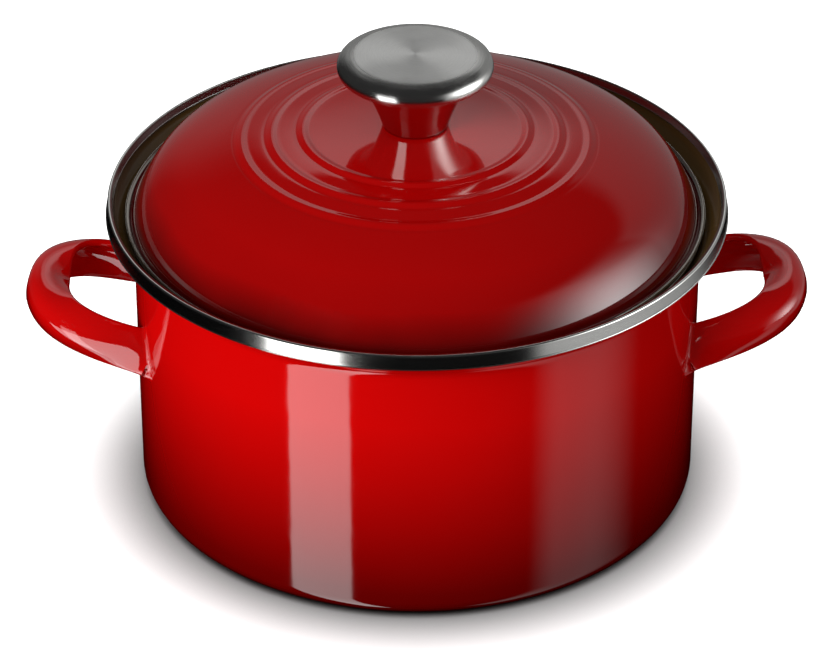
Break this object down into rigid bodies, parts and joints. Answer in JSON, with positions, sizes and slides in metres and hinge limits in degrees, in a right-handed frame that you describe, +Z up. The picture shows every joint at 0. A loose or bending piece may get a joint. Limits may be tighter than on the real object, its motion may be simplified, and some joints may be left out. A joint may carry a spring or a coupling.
{
  "type": "stock pot",
  "caption": "Wide round enamelled steel stock pot with a flared steel-banded rim, loop handles, and a domed lift-off lid with raised rings and a flat-topped steel knob.",
  "frame": {"origin": "centre of the base, in the plane the pot stands on", "axes": "+Z up along the axis of the pot, +X towards the right handle seen from the front, -Y towards the front"},
  "size_m": [0.3056, 0.2416, 0.185],
  "materials": {
    "pot_enamel": "glossy vitreous enamel, red outside and dark brown inside",
    "handle_enamel": "glossy red vitreous enamel",
    "lid_enamel": "glossy red vitreous enamel",
    "rim_steel": "brushed round the rim",
    "lid_rim_steel": "brushed round the lid",
    "knob_steel": "polished sides, brushed top face",
    "knob_insert_steel": "turned",
    "screw_steel": "plain",
    "washer_steel": "plain"
  },
  "bodies": {
    "pot": {"pot_body": "pot_enamel", "pot_rim_band": "rim_steel", "handle_left": "handle_enamel", "handle_right": "handle_enamel"},
    "lid": {"lid_shell": "lid_enamel", "lid_rim_band": "lid_rim_steel", "knob_shell": "knob_steel", "knob_insert": "knob_insert_steel", "knob_screw": "screw_steel", "flat_washer": "washer_steel", "lock_washer": "washer_steel"}
  },
  "joints": [
    {"name": "lid_lift", "type": "slide", "parent": "pot", "child": "lid", "axis": [0, 0, 1], "range_m": [0, 0.12]}
  ]
}
